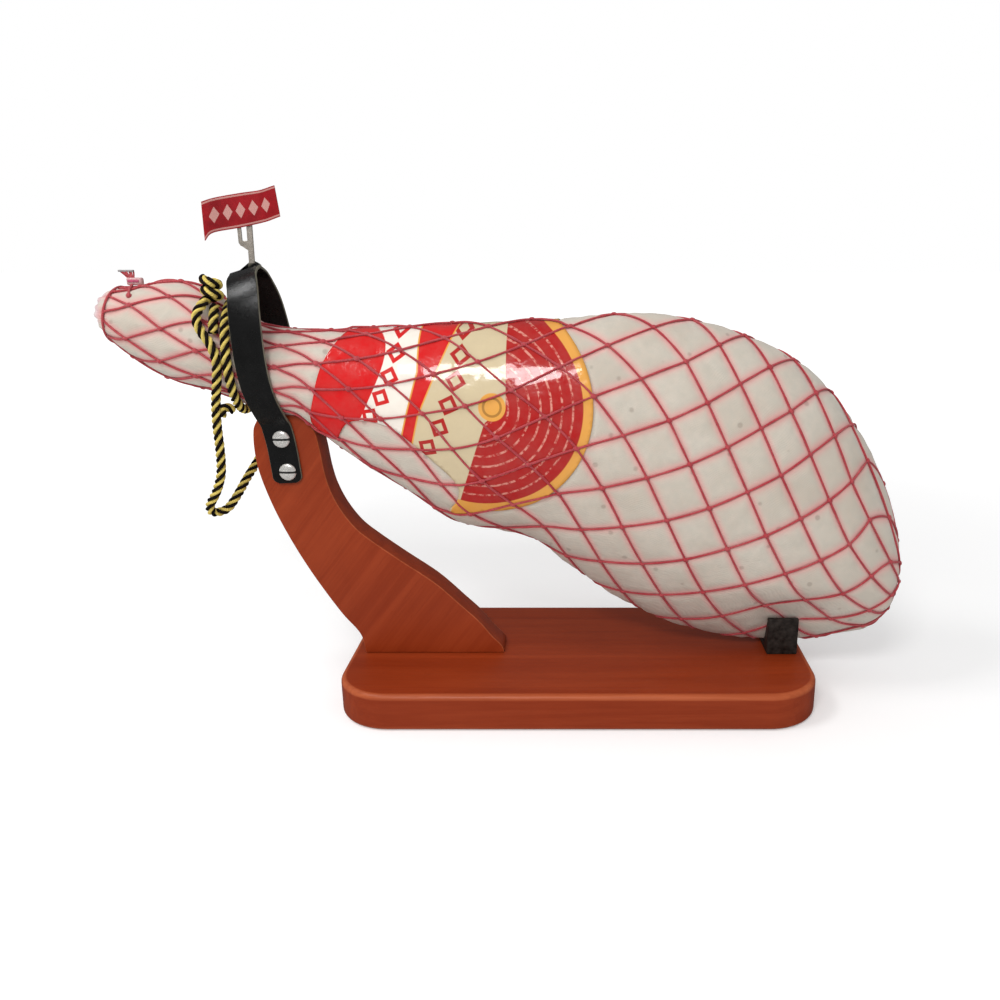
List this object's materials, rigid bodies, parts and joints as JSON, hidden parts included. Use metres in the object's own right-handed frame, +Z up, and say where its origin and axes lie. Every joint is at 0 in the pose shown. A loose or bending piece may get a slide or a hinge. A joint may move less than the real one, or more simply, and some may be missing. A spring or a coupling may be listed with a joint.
{
  "type": "cured ham on a display stand",
  "caption": "Whole cured ham in a cotton sleeve and diamond net, strapped to a wooden display stand with a curved upright and a rest block.",
  "frame": {"origin": "centre of the base board's underside", "axes": "+X along the board towards the butt of the ham, +Y away from the side on show, +Z up"},
  "size_m": [0.69, 0.19, 0.4425],
  "materials": {
    "stand_wood": "satin reddish stain",
    "steel": "bright steel",
    "block_rubber": "matt black",
    "cotton_sleeve": "undyed stretch cotton",
    "label_print": "glossy printed sheet in red, white, cream and gold",
    "strap_leather": "polished black",
    "flag_enamel": "dark red enamel",
    "rope_twist": "twisted yellow and black strands",
    "net_thread": "red cotton thread"
  },
  "bodies": {
    "root": {"base_board": "stand_wood", "upright": "stand_wood", "foot_screw_1": "steel", "foot_screw_2": "steel", "rest_block": "block_rubber", "ham": "cotton_sleeve", "label": "label_print", "strap": "strap_leather", "strap_screw_front_upper": "steel", "strap_screw_front_lower": "steel", "strap_screw_back_upper": "steel", "strap_screw_back_lower": "steel", "flag_pin": "steel", "flag": "flag_enamel", "rope_knot": "rope_twist", "rope_turn": "rope_twist", "rope_tail": "rope_twist", "rope_loop": "rope_twist", "net_clip": "net_thread", "net_tail": "net_thread"}
  },
  "joints": []
}
